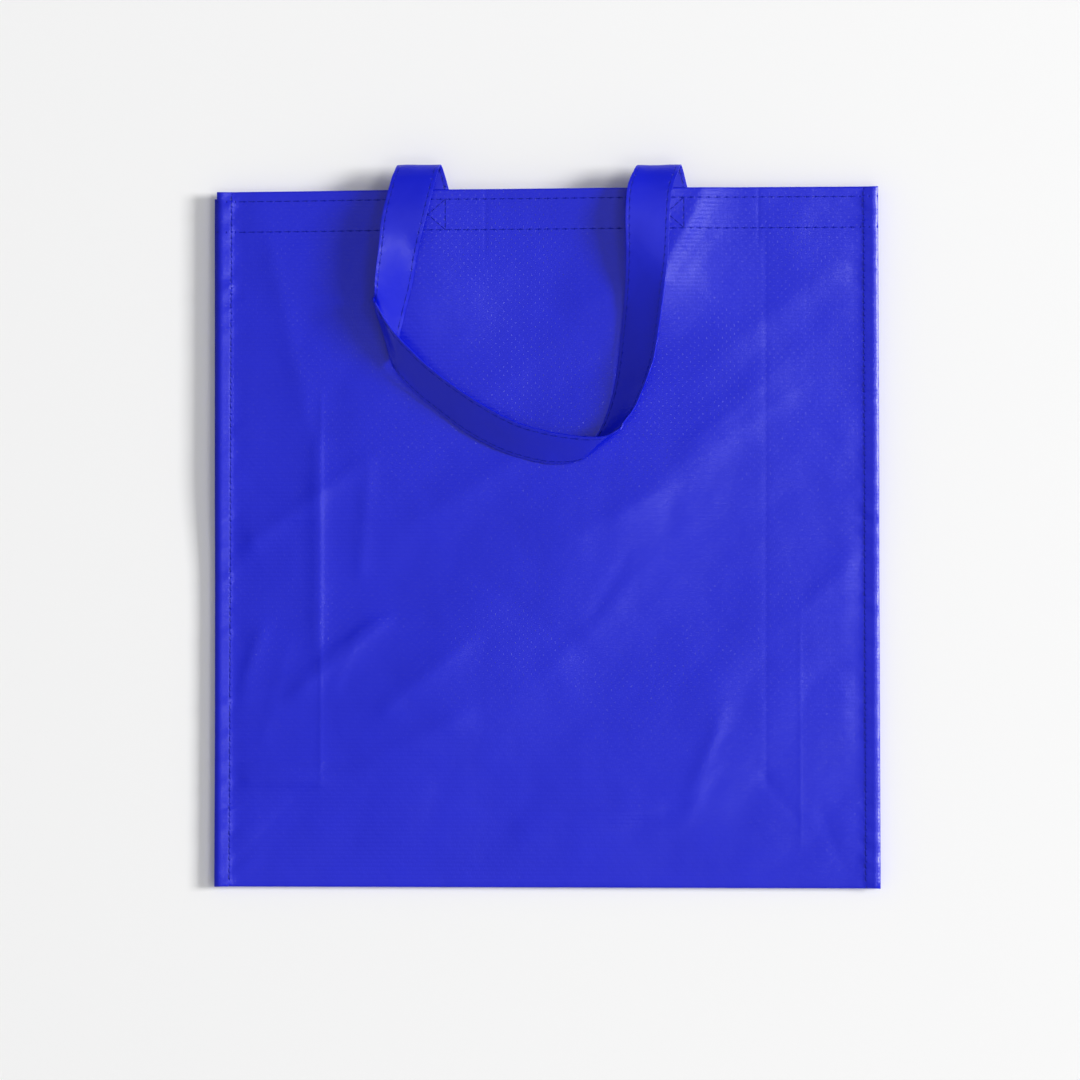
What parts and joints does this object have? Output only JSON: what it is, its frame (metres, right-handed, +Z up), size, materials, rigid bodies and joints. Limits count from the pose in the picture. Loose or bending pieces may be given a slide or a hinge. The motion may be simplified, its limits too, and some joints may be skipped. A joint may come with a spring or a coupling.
{
  "type": "plastic carrier bag",
  "caption": "Glossy blue woven plastic carrier bag, folded flat and lying on its back, with side gussets, a hemmed mouth and handles of folded and sewn strip.",
  "frame": {"origin": "centre of the object's bounding box at the surface that the bag lies on", "axes": "+Y from the bag's bottom to its mouth, +X to the right seen from above, +Z up through the front panel"},
  "size_m": [0.4, 0.434, 0.0331],
  "materials": {
    "laminated_sheet": "glossy film on woven tape",
    "sewn_strip": "glossy film on woven tape, folded and sewn along both edges"
  },
  "bodies": {
    "root": {"body_panel": "laminated_sheet", "left_gusset": "laminated_sheet", "right_gusset": "laminated_sheet", "front_handle": "sewn_strip", "back_handle": "sewn_strip"}
  },
  "joints": []
}
